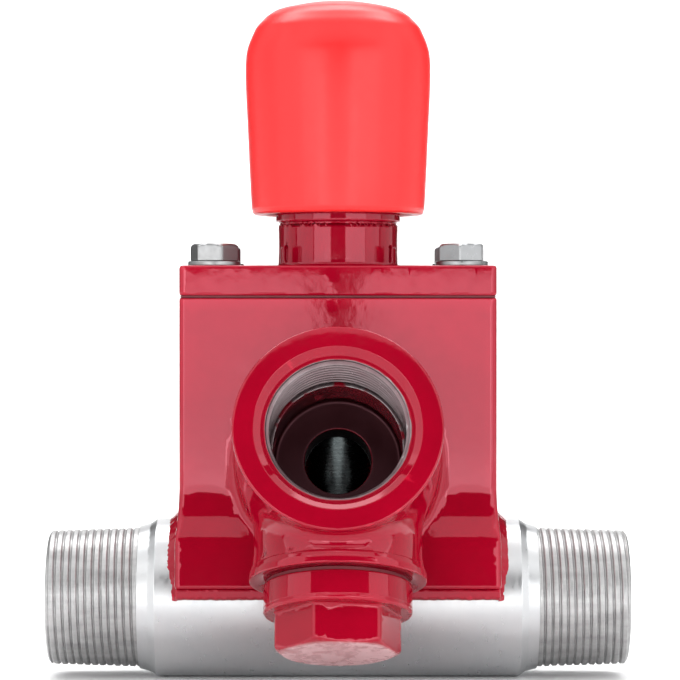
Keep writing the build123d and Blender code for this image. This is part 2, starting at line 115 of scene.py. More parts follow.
def paint_lumps(x, y, z):
    """Thick enamel: a soft skin that is lumpier towards -X, and a few runs over the joint of the cover."""
    left = 0.45 + 0.55 * np.clip(0.5 - x / 30.0, 0, 1)
    f = vnoise(x * 0.16 + 7, y * 0.16, z * 0.16) * 0.008 + vnoise(x * 0.55, y * 0.55 + 11, z * 0.55) * 0.0035
    f = f * left
    f = f + 0.016 * np.exp(-((x + 30.0) / 5.0) ** 2 - ((z - 70.0) / 9.0) ** 2) * vnoise(x * 0.9, y * 0.3, z * 0.9 + 5)
    run = np.zeros_like(f)
    for cx, cz, sx, sz, h in ((-1.6, 96.2, 0.8, 2.4, 0.15), (-3.4, 99.0, 1.4, 0.7, 0.07), (-1.9, 88.2, 0.8, 1.9, 0.14),
                              (-0.6, 85.8, 0.7, 1.0, 0.09), (-4.4, 90.2, 1.2, 0.5, 0.05)):
        run = run + h * np.exp(-((x - cx) / sx) ** 2 - ((z - cz) / sz) ** 2)
    return f + 0.6 * run * (y < -24.0)


def body_f(x, y, z):
    ax, ay = np.abs(x), np.abs(y)
    # block and flared foot
    t = np.clip(34.5 - z, 0, 22.5)
    root = np.sqrt(23.604 ** 2 - t * t)
    flare_y = 26.0 + 23.604 - root
    slope_y = t / root
    f_flare = (ay - flare_y) / np.sqrt(1 + slope_y ** 2)
    face = (ay - (30.6 + (20.5 - np.minimum(z, 29.0)) * 0.11613)) * 0.99332
    fy = rmax(f_flare, face, 1.3)
    rootx = np.sqrt(89.64 ** 2 - t * t)
    flare_x = 47.6 + 89.64 - rootx
    fx = rmax(ax - flare_x, ax - 48.7 + 0 * z, 0.6)
    block = rmax(fx, fy, 1.7)
    block = rmax(block, z - 91.7, 0.5)
    block = rmax(block, (3.2 + (ay - 21.0) * 0.1579 - z) * 0.9878, 0.9)
    # inlet boss
    d, r = port_dr(x, y, z)
    boss = rmax(r - 30.42, 0.12 - d, 1.1)
    boss = np.maximum(boss, d - 51.5)
    # clean-out boss
    s, cr, _, _ = clean_sruv(x, y, z)
    q = np.clip(s - 27.5, 0, 9.1)
    rq = np.sqrt(30.28 ** 2 - q * q)
    prof = 24.6 + 30.28 - rq
    cb = (cr - prof) / np.sqrt(1 + (q / rq) ** 2)
    cb = rmax(cb + 0.08 * (s > 33.5), s - 38.5, 0.95)
    cb = np.maximum(cb, -s)
    f = np.minimum(np.minimum(rmin(boss, cb, 3.6), rmin(boss, block, 3.2)), rmin(cb, block, 1.8))
    f = f - paint_lumps(x, y, z)
    # bores
    ryz = np.hypot(y, z)
    f = np.maximum(f, 24.2 - ryz)
    rxy = np.hypot(x, y)
    cut = np.minimum(np.maximum(rxy - 19.0, z - 66.0), np.maximum(rxy - 20.5, 52.0 - z))
    f = np.maximum(f, -cut)
    thread = np.maximum(r - 21.12, d - 22.14)
    cone = (r - (21.20 + (2.5 - d) * 1.378)) * 0.5873
    mouth = np.maximum(np.minimum(thread, np.maximum(cone, d - 2.5)), -d - 3)
    f = rmax(f, -mouth, 0.45)
    plain = np.maximum(r - 19.14, d - 36.54)
    f = np.maximum(f, -rmax(plain, -10.0 + 0 * d, 0.4))
    window = np.maximum(r - 10.14, d - 58.0)
    f = rmax(f, -window, 0.1)
    f = np.maximum(f, -np.maximum(cr - 13.0, 13.5 - s))
    f = np.maximum(f, -np.maximum(cr - 16.65, 19.4 - s))
    rb = np.hypot(ax - 37.4, ay - 15.0)
    f = np.maximum(f, -np.maximum(rb - 4.03, 73.7 - z))
    return f


def bonnet_f(x, y, z):
    ax, ay = np.abs(x), np.abs(y)
    plate = rmax(ax - 47.6, ay - 26.0, 1.8)
    plate = rmax(plate, z - 101.4, 0.9)
    plate = rmax(plate, 92.3 - z, 0.6)
    r = np.hypot(x, y)
    neck = np.maximum(r - 18.45, 100.0 - z)
    neck = np.maximum(neck, z - 119.6)
    lip = rmax(r - 19.2, np.abs(z - 117.25) - 2.3, 0.6)
    f = rmin(plate, neck, 1.4)
    f = np.maximum(f, -np.maximum(np.abs(z - 114.55) - 0.4, 18.0 - r))
    f = rmin(f, lip, 0.15)
    f = f - paint_lumps(x, y, z)
    spigot = np.maximum(r - 20.4, np.maximum(85.0 - z, z - 95.0))
    f = np.minimum(f, spigot)
    f = np.maximum(f, -np.maximum(r - 16.0, z - 96.0))
    f = np.maximum(f, -(r - 9.0))
    f = np.maximum(f, -np.maximum(r - 12.0, 112.0 - z))
    for az in (-150, -30, 90):
        c, s_ = math.cos(math.radians(az)), math.sin(math.radians(az))
        along = x * c + y * s_
        across = -x * s_ + y * c
        slot = np.hypot(across, np.maximum(np.abs(z - 105.2) - 1.5, 0)) - 1.1
        f = rmax(f, -np.maximum(slot, 17.25 - along), 0.2)
    rb = np.hypot(ax - 37.4, ay - 15.0)
    f = np.maximum(f, -(rb - 4.5))
    return f


def plug_f(x, y, z):
    s, r, u, v = clean_sruv(x, y, z)
    collar = rmax(r - 21.66, np.abs(s - (COLLAR_S + COLLAR_T / 2)) - COLLAR_T / 2, 0.8)
    a = np.arctan2(v, u)
    lump = vnoise(a * 7.0 + 3, s * 0.8, r * 0.3) * 0.34 + vnoise(a * 17.0, s * 1.3, r * 0.3 + 9) * 0.24
    bead = np.hypot(r - 20.95, s - (COLLAR_S + COLLAR_T - 0.85)) - (0.78 + lump * 0.55)
    f = rmin(collar, bead, 0.35)
    # hexagon
    k = (a - HEX_TURN) % (math.pi / 3) - math.pi / 6
    hx, hy = r * np.cos(k), np.abs(r * np.sin(k))
    hexa = hx - 16.5
    # round the corners between flats
    m = math.pi / 3
    other = hx * math.cos(m) + hy * math.sin(m) - 16.5
    hexa = rmax(hexa, other, 1.1)
    hexa = rmax(hexa, s - HEX_END, 0.7)
    cone = (r + (s - HEX_END) * 1.75 - 16.75) * 0.4961
    hexa = rmax(hexa, cone, 0.7)
    hexa = np.maximum(hexa, COLLAR_S + 1 - s)
    f = rmin(f, hexa, 0.8)
    shank = np.maximum(r - 16.6, np.abs(s - (COLLAR_S - 7.3)) - 7.7)
    return np.minimum(f, shank)


def tube_f(x, y, z):
    ax, r = np.abs(x), np.hypot(y, z)
    cone = (r - (22.67 + (57.4 - ax) * 0.6667)) * 0.832
    fat = rmax(r - 24.07, cone, 0.5)
    fat = np.maximum(fat, ax - 58.5)
    neck = (r - (22.67 - np.clip(ax - 57.4, 0, 9) * 0.27)) * 0.965
    f = rmin(fat, neck, 0.35)
    f = np.maximum(f, ax - 60.7)
    f = np.maximum(f, 16.0 - r)
    rxy = np.hypot(x, y)
    f = np.maximum(f, -np.maximum(rxy - 14.0, 19.0 - z))
    f = np.maximum(f, -np.maximum(rxy - 9.0, -z))
    return f


def weld_f(x, y, z):
    n1 = vnoise(x * 0.42 + 5, y * 0.35, z * 0.35)
    n2 = vnoise(x * 1.05, y * 0.9, z * 0.9 + 20)
    n3 = vnoise(x * 2.3 + 9, y * 2.1, z * 2.1 + 40)
    lump = n1 * 0.16 + n2 * 0.10 + n3 * 0.03
    ay, ax = np.abs(y), np.abs(x)
    # long beads under the foot, a chain of overlapping puddles
    px = (x / 2.7) - np.floor(x / 2.7) - 0.5
    puddle = 0.35 * (1 - 4 * px * px)
    line = np.hypot((ay - 29.3) * 0.74, (z - 3.35) * 1.15) - (2.2 + puddle * 0.3 + lump * 0.8)
    line = np.maximum(line, ax - 48.3)
    line = np.where(y < 0, np.maximum(line, 21.5 - ax), line)
    # fillets round the tube at both ends
    r = np.hypot(y, z)
    pa = np.arctan2(y, z) * 26.0
    pw = (pa / 3.1) - np.floor(pa / 3.1) - 0.5
    ring = 0.707 * ((ax - 48.7) + (r - 24.15)) - (1.9 - 1.0 * np.clip((11.0 - z) / 6.0, 0, 1) + 0.05 * (1 - 4 * pw * pw) + lump * 0.5)
    ring = np.maximum(ring, np.maximum(48.0 - ax, 22.0 - r))
    ring = np.maximum(ring, ax - 53.3)
    ring = np.maximum(ring, 0.7 - z)
    f = np.minimum(line, ring)
    f = np.maximum(f, 24.0 - r)
    f = np.maximum(f, 0.65 - z)
    f = np.maximum(f, ay - 31.85)
    return f


def sdf_mesh(f, lo, hi, voxel, adaptivity=0.0, newton=3):
    lo, hi = np.array(lo, float), np.array(hi, float)
    n = np.ceil((hi - lo) / voxel).astype(int) + 1
    xs, ys, zs = (lo[i] + voxel * np.arange(n[i]) for i in range(3))
    vol = np.empty(n, np.float32)
    step = max(1, int(1.5e6 / (n[1] * n[2])))
    band = 3.0 * voxel
    for i in range(0, n[0], step):
        X, Y, Zg = np.meshgrid(xs[i:i + step], ys, zs, indexing="ij")
        vol[i:i + step] = np.clip(f(X, Y, Zg), -band, band)
    grid = vdb.FloatGrid(band)
    grid.copyFromArray(vol)
    pts, tris, quads = grid.convertToPolygons(isovalue=0.0, adaptivity=adaptivity)
    P = np.array(pts, float) * voxel + lo
    e = 0.02
    g = None
    for k in range(newton + 1):
        x, y, z = P[:, 0], P[:, 1], P[:, 2]
        v = f(x, y, z)
        g = np.stack([f(x + e, y, z) - f(x - e, y, z), f(x, y + e, z) - f(x, y - e, z),
                      f(x, y, z + e) - f(x, y, z - e)], 1) / (2 * e)
        gg = np.maximum((g * g).sum(1), 0.05)
        if k < newton:
            move = g * (v / gg)[:, None]
            length = np.linalg.norm(move, axis=1)
            move *= np.minimum(1, 0.6 * voxel / np.maximum(length, 1e-9))[:, None]
            P = P - move
    N = g / np.maximum(np.linalg.norm(g, axis=1), 1e-9)[:, None]
    tris, quads = np.array(tris, int).reshape(-1, 3), np.array(quads, int).reshape(-1, 4)
    # winding: faces agree with the outward gradient
    def flip(F):
        if not len(F):
            return F
        a, b, c = P[F[:, 0]], P[F[:, 1]], P[F[:, 2]]
        nn = np.cross(b - a, c - a)
        return F if (nn * N[F[:, 0]]).sum() > 0 else F[:, ::-1]
    return P, flip(tris), flip(quads), N


# ---------------------------------------------------------------------------
# making objects
# ---------------------------------------------------------------------------
def make(name, P, faces, material, body, replaces=(), normals=None, attrs=None):
    me = bpy.data.meshes.new(name)
    P = np.asarray(P, float) * MM
    fl = []
    for F in faces:
        fl += [tuple(int(i) for i in row) for row in F]
    me.from_pydata([tuple(p) for p in P], [], fl)
    me.polygons.foreach_set("use_smooth", np.ones(len(me.polygons), bool))
    for key, val in (attrs or {}).items():
        a = me.attributes.new(key, "FLOAT", "POINT")
        a.data.foreach_set("value", np.asarray(val, np.float32))
    me.update()
    if normals is not None:
        me.normals_split_custom_set_from_vertices([tuple(v) for v in normals])
    o = bpy.data.objects.new(name, me)
    bpy.context.scene.collection.objects.link(o)
    me.materials.append(material)
    if body:
        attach(o, body)
    if replaces:
        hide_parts(*replaces)
    return o


def wrap_grid(P, closed_u=True, closed_v=False):
    """Quads over a grid of points P[u, v]."""
    nu, nv = P.shape[0], P.shape[1]
    iu = np.arange(nu if closed_u else nu - 1)
    iv = np.arange(nv if closed_v else nv - 1)
    U, V = np.meshgrid(iu, iv, indexing="ij")
    U2, V2 = (U + 1) % nu, (V + 1) % nv
    return np.stack([(U * nv + V), (U * nv + V2), (U2 * nv + V2), (U2 * nv + V)], -1).reshape(-1, 4)


def orient(P, F):
    """Faces with outward winding, from the signed volume of a closed mesh."""
    a, b, c = P[F[:, 0]], P[F[:, 1]], P[F[:, 2]]
    vol = (a * np.cross(b, c)).sum()
    if F.shape[1] == 4:
        d = P[F[:, 3]]
        vol += (a * np.cross(c, d)).sum()
    return F if vol > 0 else F[:, ::-1]


def rounded(points, radii, steps=5):
    """A closed polyline in the plane with its corners rounded."""
    out = []
    n = len(points)
    for i in range(n):
        p = np.array(points[i], float)
        r = radii[i]
        if r <= 0:
            out.append(tuple(p))
            continue
        a, b = np.array(points[i - 1], float) - p, np.array(points[(i + 1) % n], float) - p
        la, lb = np.linalg.norm(a), np.linalg.norm(b)
        a, b = a / la, b / lb
        ang = math.acos(max(-1, min(1, float(a @ b))))
        t = min(r / math.tan(ang / 2), 0.45 * la, 0.45 * lb)
        p0, p1 = p + a * t, p + b * t
        for k in range(steps + 1):
            w = k / steps
            out.append(tuple((1 - w) ** 2 * p0 + 2 * w * (1 - w) * p + w * w * p1))
    return out


def lathe(profile, n=160, frame_axes=None, origin=(0, 0, 0)):
    """A closed profile [(r, h)...] turned round an axis. frame_axes is (x, y, axis)."""
    prof = np.array(profile, float)
    th = np.linspace(0, 2 * math.pi, n, endpoint=False)
    X, Y, A = (np.array(v, float) for v in (frame_axes or ((1, 0, 0), (0, 1, 0), (0, 0, 1))))
    r, h = prof[:, 0][None, :, None], prof[:, 1][None, :, None]
    c, s = np.cos(th)[:, None, None], np.sin(th)[:, None, None]
    P = np.array(origin, float) + r * c * X + r * s * Y + h * A
    F = wrap_grid(P, True, True)
    P = P.reshape(-1, 3)
    return P, orient(P, F)


def lathe_normals(profile_fn_points, n, F, P):
    """Area-weighted vertex normals."""
    N = np.zeros_like(P)
    a, b, c, d = (P[F[:, i]] for i in range(4))
    nn = np.cross(c - a, d - b)
    for i in range(4):
        np.add.at(N, F[:, i], nn)
    return N / np.maximum(np.linalg.norm(N, axis=1), 1e-12)[:, None]


# ---------------------------------------------------------------------------
# materials
# ---------------------------------------------------------------------------
class Mat:
    def __init__(self, name):
        self.m = bpy.data.materials.new(name)
        self.m.use_nodes = True
        self.t = self.m.node_tree
        self.t.nodes.clear()
        self.out = self.t.nodes.new("ShaderNodeOutputMaterial")
        self.co = self.t.nodes.new("ShaderNodeTexCoord").outputs["Object"]

    def node(self, kind, **props):
        n = self.t.nodes.new(kind)
        for k, v in props.items():
            setattr(n, k, v)
        return n

    def link(self, a, b):
        self.t.links.new(a, b)

    def stretch(self, scale=(1, 1, 1), rotation=(0, 0, 0), src=None):
        n = self.node("ShaderNodeMapping")
        n.inputs["Scale"].default_value = scale
        n.inputs["Rotation"].default_value = rotation
        self.link(src or self.co, n.inputs["Vector"])
        return n.outputs["Vector"]

    def noise(self, scale, detail=3.0, rough=0.5, src=None, distortion=0.0):
        n = self.node("ShaderNodeTexNoise")
        n.inputs["Scale"].default_value = scale
        n.inputs["Detail"].default_value = detail
        n.inputs["Roughness"].default_value = rough
        n.inputs["Distortion"].default_value = distortion
        self.link(src or self.co, n.inputs["Vector"])
        return n.outputs["Fac"]

    def ramp(self, fac, stops):
        n = self.node("ShaderNodeValToRGB")
        r = n.color_ramp
        while len(r.elements) < len(stops):
            r.elements.new(0.5)
        for e, (p, c) in zip(r.elements, stops):
            e.position = p
            e.color = (*c, 1.0) if len(c) == 3 else c
        self.link(fac, n.inputs["Fac"])
        return n.outputs["Color"]

    def mix(self, fac, a, b, blend="MIX"):
        n = self.node("ShaderNodeMix", data_type="RGBA", blend_type=blend)
        fi, ai, bi = n.inputs[0], n.inputs[6], n.inputs[7]
        for s, v in ((fi, fac), (ai, a), (bi, b)):
            if isinstance(v, bpy.types.NodeSocket):
                self.link(v, s)
            elif s is fi:
                s.default_value = v
            else:
                s.default_value = (*v, 1.0)
        return n.outputs[2]

    def math(self, op, a, b=None, clamp=False):
        n = self.node("ShaderNodeMath", operation=op, use_clamp=clamp)
        for i, v in enumerate((a, b)):
            if v is None:
                continue
            if isinstance(v, bpy.types.NodeSocket):
                self.link(v, n.inputs[i])
            else:
                n.inputs[i].default_value = v
        return n.outputs[0]

    def span(self, fac, lo, hi, a=0.0, b=1.0):
        n = self.node("ShaderNodeMapRange")
        n.inputs["From Min"].default_value = lo
        n.inputs["From Max"].default_value = hi
        n.inputs["To Min"].default_value = a
        n.inputs["To Max"].default_value = b
        self.link(fac, n.inputs["Value"])
        return n.outputs["Result"]

    def attr(self, name):
        n = self.node("ShaderNodeAttribute", attribute_name=name)
        return n.outputs["Fac"]

    def bump(self, height, distance, strength=1.0, normal=None):
        n = self.node("ShaderNodeBump")
        n.inputs["Strength"].default_value = strength
        n.inputs["Distance"].default_value = distance
        self.link(height, n.inputs["Height"])
        if normal is not None:
            self.link(normal, n.inputs["Normal"])
        return n.outputs["Normal"]

    def shader(self, color, rough, normal=None, **numbers):
        p = self.node("ShaderNodeBsdfPrincipled")
        for sock, v in (("Base Color", color), ("Roughness", rough)):
            if isinstance(v, bpy.types.NodeSocket):
                self.link(v, p.inputs[sock])
            elif sock == "Base Color":
                p.inputs[sock].default_value = (*v, 1.0)
            else:
                p.inputs[sock].default_value = v
        if normal is not None:
            self.link(normal, p.inputs["Normal"])
        for k, v in numbers.items():
            key = k.replace("_", " ")
            p.inputs[key].default_value = v
        return p

    # mask of convex edges; the materials lighten their colour with it, a painted highlight along edges
    def edge(self, lo=0.52, hi=0.60):
        g = self.node("ShaderNodeNewGeometry")
        return self.span(g.outputs["Pointiness"], lo, hi)

    def done(self, bsdf):
        self.link(bsdf.outputs[0], self.out.inputs["Surface"])
        return self.m


def bare_metal(M, tone=0.55, rough=0.34):
    n = M.noise(900, 4, 0.6)
    n2 = M.noise(120, 3, 0.5)
    c = M.ramp(n2, [(0.3, (tone * 0.78, tone * 0.79, tone * 0.8)), (0.7, (tone * 1.12, tone * 1.12, tone * 1.12))])
    r = M.span(n, 0.3, 0.7, rough - 0.08, rough + 0.1)
    return M.shader(c, r, M.bump(n, 0.00003, 0.6), Metallic=1.0)


def red_paint(name="red_enamel", base=(0.245, 0.0004, 0.0103), light=(0.31, 0.0006, 0.0132), rough=0.05):
    M = Mat(name)
    cloud = M.noise(28, 4, 0.55)
    mott = M.noise(240, 3, 0.6)
    fine = M.noise(1400, 2, 0.5)
    c = M.ramp(cloud, [(0.30, base), (0.72, light)])
    c = M.mix(M.span(mott, 0.35, 0.75, 0.0, 0.20), c, (0.20, 0.0003, 0.0075))
    # painted highlight: lighter red on convex edges
    c = M.mix(M.math("MULTIPLY", M.edge(), 0.35), c, (0.60, 0.012, 0.04))
    r = M.span(mott, 0.3, 0.75, rough * 0.7, rough * 1.5)
    wave = M.noise(46, 2, 0.5)
    peel = M.noise(430, 2, 0.45)
    nrm = M.bump(wave, 0.00005, 0.5)
    nrm = M.bump(peel, 0.0000085, 1.0, nrm)
    nrm = M.bump(fine, 0.0000016, 1.0, nrm)
    p = M.shader(c, r, nrm, IOR=1.68, Specular_Tint=(1.0, 0.42, 0.50, 1.0))
    b = bare_metal(M, 0.62, 0.30)
    mx = M.node("ShaderNodeMixShader")
    fac = M.math("ADD", M.attr("bare"), M.math("MULTIPLY", M.math("SUBTRACT", mott, 0.5), 0.8))
    fac = M.math("MULTIPLY", M.span(fac, 0.42, 0.58), M.math("GREATER_THAN", M.attr("bare"), 0.02))
    M.link(fac, mx.inputs[0])
    M.link(p.outputs[0], mx.inputs[1])
    M.link(b.outputs[0], mx.inputs[2])
    return M.done(mx)


def inlet_with_painted_shade(name="inlet_bore_with_painted_shade"):
    """Bare cut metal where the thread is, thin red enamel further in; painted shade darkens both towards near black
    deeper in the bore and towards its lower left.
    """
    M = Mat(name)
    n = M.noise(1500, 4, 0.65)
    mid = M.noise(220, 4, 0.62)
    cloud = M.noise(45, 4, 0.6)
    # painted shade: darkens the bore deeper in and towards its lower left
    painted_shade = M.attr("painted_shade")
    tone = 0.19
    # the pinkish tint of the cut metal is a painted reflection of the red enamel round it
    c = M.ramp(mid, [(0.3, (tone * 0.72, tone * 0.55, tone * 0.58)), (0.7, (tone * 1.12, tone * 0.92, tone * 0.95))])
    c = M.mix(M.span(cloud, 0.35, 0.75, 0.1, 0.65), c, (0.17, 0.075, 0.085))
    # painted highlight: lighter grey on convex edges of the cut metal
    c = M.mix(M.math("MULTIPLY", M.edge(0.5, 0.58), 0.45), c, (0.55, 0.54, 0.54))
    # painted shade darkens the cut metal
    c = M.mix(M.math("MULTIPLY", painted_shade, 0.75), c, (0.035, 0.02, 0.02))
    b = M.shader(c, M.span(n, 0.3, 0.7, 0.26, 0.46), M.bump(n, 0.00003, 0.8), Metallic=1.0)
    red = M.ramp(cloud, [(0.3, (0.20, 0.0006, 0.008)), (0.7, (0.28, 0.0010, 0.012))])
    # painted shade darkens the enamel to near black
    red = M.mix(M.span(painted_shade, 0.1, 0.85, 0.0, 0.97), red, (0.004, 0.0003, 0.0006))
    q = M.shader(red, M.math("ADD", M.span(mid, 0.3, 0.7, 0.10, 0.24), M.math("MULTIPLY", painted_shade, 0.25)), M.bump(M.noise(430, 2, 0.45), 0.00002, 1.0), IOR=1.5,
                 Specular_Tint=(1.0, 0.42, 0.50, 1.0))
    mx = M.node("ShaderNodeMixShader")
    fac = M.math("ADD", M.attr("bare"), M.math("MULTIPLY", M.math("SUBTRACT", mid, 0.5), 0.7))
    M.link(M.span(fac, 0.42, 0.58), mx.inputs[0])
    M.link(q.outputs[0], mx.inputs[1])
    M.link(b.outputs[0], mx.inputs[2])
    return M.done(mx)


def red_paint_with_painted_light(name):
    """Red paint with pale pink blotches on the end of the clean-out plug: painted light, standing in for the light the
    floor throws there.
    """
    M = Mat(name)
    n = M.noise(210, 5, 0.65, distortion=0.5)
    n2 = M.noise(60, 3, 0.5)
    # painted light: pale pink blotches where the end-face mask is set
    painted_light = M.math("MULTIPLY", M.span(n, 0.26, 0.58, 0.25, 1.0), M.span(n2, 0.2, 0.6, 0.72, 1.0))
    painted_light = M.math("MULTIPLY", painted_light, M.attr("wear_and_painted_light"))
    c = M.ramp(M.noise(28, 4, 0.55), [(0.30, (0.255, 0.0004, 0.0106)), (0.72, (0.325, 0.0006, 0.0138))])
    # painted highlight: lighter red on convex edges
    c = M.mix(M.math("MULTIPLY", M.edge(), 0.35), c, (0.60, 0.03, 0.05))
    c = M.mix(painted_light, c, (0.62, 0.40, 0.41))
    r = M.math("ADD", M.math("MULTIPLY", painted_light, 0.3), 0.06)
    nrm = M.bump(M.noise(46, 2, 0.5), 0.00010, 0.5)
    nrm = M.bump(M.noise(430, 2, 0.45), 0.0000085, 1.0, nrm)
    return M.done(M.shader(c, r, nrm, IOR=1.68, Specular_Tint=(1.0, 0.42, 0.50, 1.0)))


def zinc(name, tone=0.78, rough=0.27, streak=(1, 1, 1), blue=1.03, bump=0.00002, mottle=0.35):
    M = Mat(name)
    st = M.stretch(streak)
    n = M.noise(620, 5, 0.62, src=st)
    big = M.noise(38, 4, 0.6)
    mid = M.noise(170, 4, 0.6)
    c = M.ramp(big, [(0.3, (tone * 0.90, tone * 0.925, tone * 0.95 * blue)), (0.7, (tone, tone * 1.005, tone * 1.01 * blue))])
    c = M.mix(M.span(mid, 0.55, 0.80, 0.0, mottle), c, (tone * 0.66, tone * 0.70, tone * 0.74))
    # painted highlight: lighter zinc on convex edges
    c = M.mix(M.math("MULTIPLY", M.edge(), 0.6), c, (min(1, tone * 1.15),) * 3)
    r = M.math("ADD", M.span(n, 0.3, 0.7, rough - 0.07, rough + 0.07), M.span(big, 0.3, 0.7, -0.03, 0.03))
    nrm = M.bump(mid, bump * 2.2, 0.5)
    nrm = M.bump(n, bump, 0.8, nrm)
    return M.done(M.shader(c, r, nrm, Metallic=1.0))


def thread_metal(name, tone=0.62, rough=0.36):
    M = Mat(name)
    n = M.noise(1500, 4, 0.65)
    mid = M.noise(260, 4, 0.62, src=M.stretch((0.25, 1, 1)))
    c = M.ramp(mid, [(0.3, (tone * 0.72,) * 3), (0.7, (tone * 1.08,) * 3)])
    # painted highlight: lighter steel on convex edges
    c = M.mix(M.math("MULTIPLY", M.edge(0.5, 0.58), 0.35), c, (0.62, 0.62, 0.62))
    r = M.span(n, 0.3, 0.7, rough - 0.1, rough + 0.12)
    return M.done(M.shader(c, r, M.bump(n, 0.00003, 0.8), Metallic=1.0))


def coral(name="coral_moulding"):
    M = Mat(name)
    cloud = M.noise(22, 3, 0.5, src=M.stretch((1, 1, 0.35)))
    mott = M.noise(300, 3, 0.55)
    fine = M.noise(2200, 2, 0.5)
    c = M.ramp(cloud, [(0.3, (0.70, 0.012, 0.013)), (0.7, (0.76, 0.019, 0.020))])
    c = M.mix(M.span(mott, 0.4, 0.75, 0.0, 0.12), c, (0.66, 0.010, 0.012))
    # painted highlight: pale pink on convex edges
    c = M.mix(M.math("MULTIPLY", M.edge(0.53, 0.62), 0.5), c, (1.0, 0.17, 0.16))
    r = M.span(mott, 0.3, 0.7, 0.34, 0.42)
    nrm = M.bump(M.noise(60, 3, 0.5, src=M.stretch((1, 1, 0.5))), 0.00022, 0.6)
    nrm = M.bump(fine, 0.000006, 1.0, nrm)
    p = M.shader(c, r, nrm, IOR=1.40, Coat_Weight=0.08, Coat_Roughness=0.16)
    return M.done(p)


def turned(name, tone, rough=0.3, ridge=0.00002, metallic=1.0):
    """Turned or ground metal: fine marks round Z."""
    M = Mat(name)
    st = M.stretch((0.05, 0.05, 1.0))
    n = M.noise(2600, 4, 0.6, src=st)
    mid = M.noise(160, 3, 0.6)
    c = M.ramp(mid, [(0.3, tuple(t * 0.82 for t in tone)), (0.7, tuple(min(1, t * 1.08) for t in tone))])
    # painted highlight: lighter metal on convex edges
    c = M.mix(M.math("MULTIPLY", M.edge(), 0.5), c, tuple(min(1, t * 1.3 + 0.04) for t in tone))
    r = M.span(n, 0.3, 0.7, max(0.03, rough - 0.07), rough + 0.07)
    return M.done(M.shader(c, r, M.bump(n, ridge, 0.7), Metallic=metallic))


def polished_dark(name):
    M = Mat(name)
    st = M.stretch((0.2, 0.2, 1.0))
    n = M.noise(1800, 3, 0.6, src=st)
    mid = M.noise(140, 3, 0.6)
    c = M.ramp(mid, [(0.3, (0.050, 0.060, 0.062)), (0.7, (0.088, 0.099, 0.099))])
    # painted highlight: light grey on convex edges
    c = M.mix(M.math("MULTIPLY", M.edge(), 0.5), c, (0.25, 0.26, 0.27))
    r = M.span(n, 0.3, 0.7, 0.24, 0.33)
    return M.done(M.shader(c, r, M.bump(n, 0.0000015, 0.8), Metallic=1.0))


def matt(name, tone, rough=0.7, bump=0.00006):
    M = Mat(name)
    n = M.noise(700, 4, 0.65)
    mid = M.noise(90, 3, 0.6)
    c = M.ramp(mid, [(0.3, tuple(t * 0.75 for t in tone)), (0.7, tuple(min(1, t * 1.2) for t in tone))])
    # painted highlight: lighter colour on convex edges
    c = M.mix(M.math("MULTIPLY", M.edge(), 0.4), c, tuple(min(1, t * 1.8 + 0.02) for t in tone))
    r = M.span(n, 0.3, 0.7, rough - 0.1, rough + 0.1)
    return M.done(M.shader(c, r, M.bump(n, bump, 0.7), IOR=1.48))


PAINT = red_paint()
COVER = red_paint("red_enamel_cover", rough=0.055)
PAINT_PAINTED_LIGHT = red_paint_with_painted_light("red_enamel_painted_light")
ZINC = zinc("zinc_plate_satin", 0.54, 0.33, (1.0, 0.35, 0.35), 1.0, 0.000006, 0.12)
BOLT = zinc("bolt_zinc_bright", 0.26, 0.33, (1, 1, 1), 1.0, 0.000010)
THREAD = thread_metal("cut_thread_steel", 0.42, 0.44)
CORAL = coral()
DARK = polished_dark("polished_dark_steel")
SEAT = turned("turned_seat_steel", (0.50, 0.50, 0.52), 0.28)
GROUND = turned("ground_steel", (0.62, 0.63, 0.65), 0.2, 0.000008)
BRONZE = turned("bearing_bronze", (0.62, 0.42, 0.20), 0.3)
BRASS = turned("turned_brass", (0.72, 0.55, 0.25), 0.25)
SPRING = turned("phosphated_steel", (0.20, 0.20, 0.22), 0.4)
RUBBER = matt("black_rubber", (0.02, 0.02, 0.02), 0.6, 0.00002)
GASKET = matt("painted_gasket", (0.085, 0.0015, 0.006), 0.6)
FIBRE = matt("fibre_seal", (0.10, 0.003, 0.009), 0.6)

# ---------------------------------------------------------------------------
# casting
# ---------------------------------------------------------------------------
vox = 0.62
P, T, Q, N = sdf_mesh(body_f, (-50.2, -76.2, -1.2), (50.2, 34.2, 93.2), vox, 0.06)
d, r = port_dr(P[:, 0], P[:, 1], P[:, 2])
bare = np.zeros(len(P))
# the wall of the window is bare where the tool broke through
win = (np.abs(r - 10.1) < 0.3) & (d > 37.0) & (d < 60.0)
bare[win] = 1.0
top = (np.abs(P[:, 2] - 91.7) < 0.1) & (np.hypot(P[:, 0], P[:, 1]) < 40)
bare[top] = 0.0
casting = make("body_casting", P, (T, Q), PAINT, "valve", ("body",), N, {"bare": bare})

# inlet: one skin from the lead-in through thread, step, plain bore and bottom to the window
nth, per = ((208, 14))
pitch = 2.309
th = np.linspace(0, 2 * math.pi, nth, endpoint=False)
rows = [(2.05, 21.64, 0.0), (2.2, 21.38, 0.0), (2.35, 21.12, 0.0)]
nd = int(19.4 / pitch * per)
rows += [(v, 20.93, 1.0) for v in np.linspace(2.5, 21.9, nd)]
rows += [(22.0, 20.6, 1.0), (22.02, 20.2, 1.0), (22.04, 19.7, 1.0), (22.06, 19.3, 1.0), (22.12, 19.08, 1.0), (22.3, 19.0, 1.0)]
rows += [(v, 19.0, 0.0) for v in np.linspace(22.7, 35.2, 26)]
rows += [(36.4 - 1.2 * (1 - math.sin(a)), 19.0 - 1.2 * (1 - math.cos(a)), 0.0) for a in np.linspace(0.15, math.pi / 2, 7)]
rows += [(36.4, v, 0.0) for v in np.linspace(17.4, 10.5, 18)]
rows += [(36.43, 10.25, 0.0), (36.52, 10.08, 0.0), (36.75, 10.0, 0.0)]
